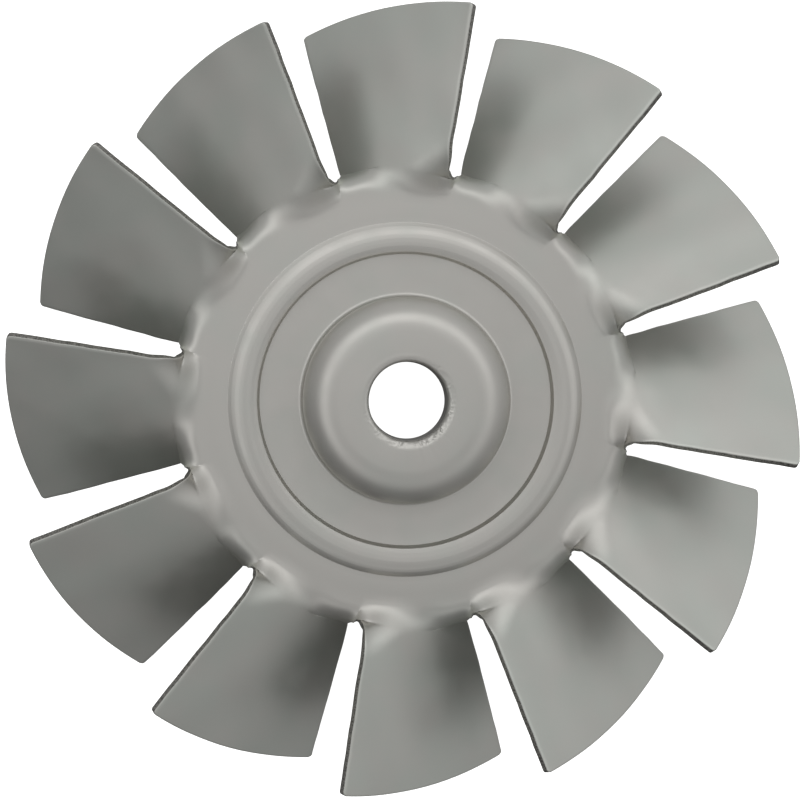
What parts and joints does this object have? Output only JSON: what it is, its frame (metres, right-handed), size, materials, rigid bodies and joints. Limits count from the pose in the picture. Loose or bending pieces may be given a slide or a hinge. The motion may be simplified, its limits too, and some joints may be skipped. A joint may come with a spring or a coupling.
{
  "type": "vacuum motor cooling fan",
  "caption": "Pressed sheet-metal axial fan wheel with a raised hub, a drawn bore collar, a stiffening bead and twisted blades, for cooling a vacuum motor.",
  "frame": {"origin": "on the shaft axis, in the plane of the lowered blade corners that the wheel lies on", "axes": "+Z along the shaft axis towards the hub's nose; a blade's centre line lies on +X"},
  "size_m": [0.0828, 0.0828, 0.0138],
  "materials": {
    "zinc_plated_steel": "satin zinc-plated sheet steel"
  },
  "bodies": {
    "root": {"fan_wheel": "zinc_plated_steel"}
  },
  "joints": []
}
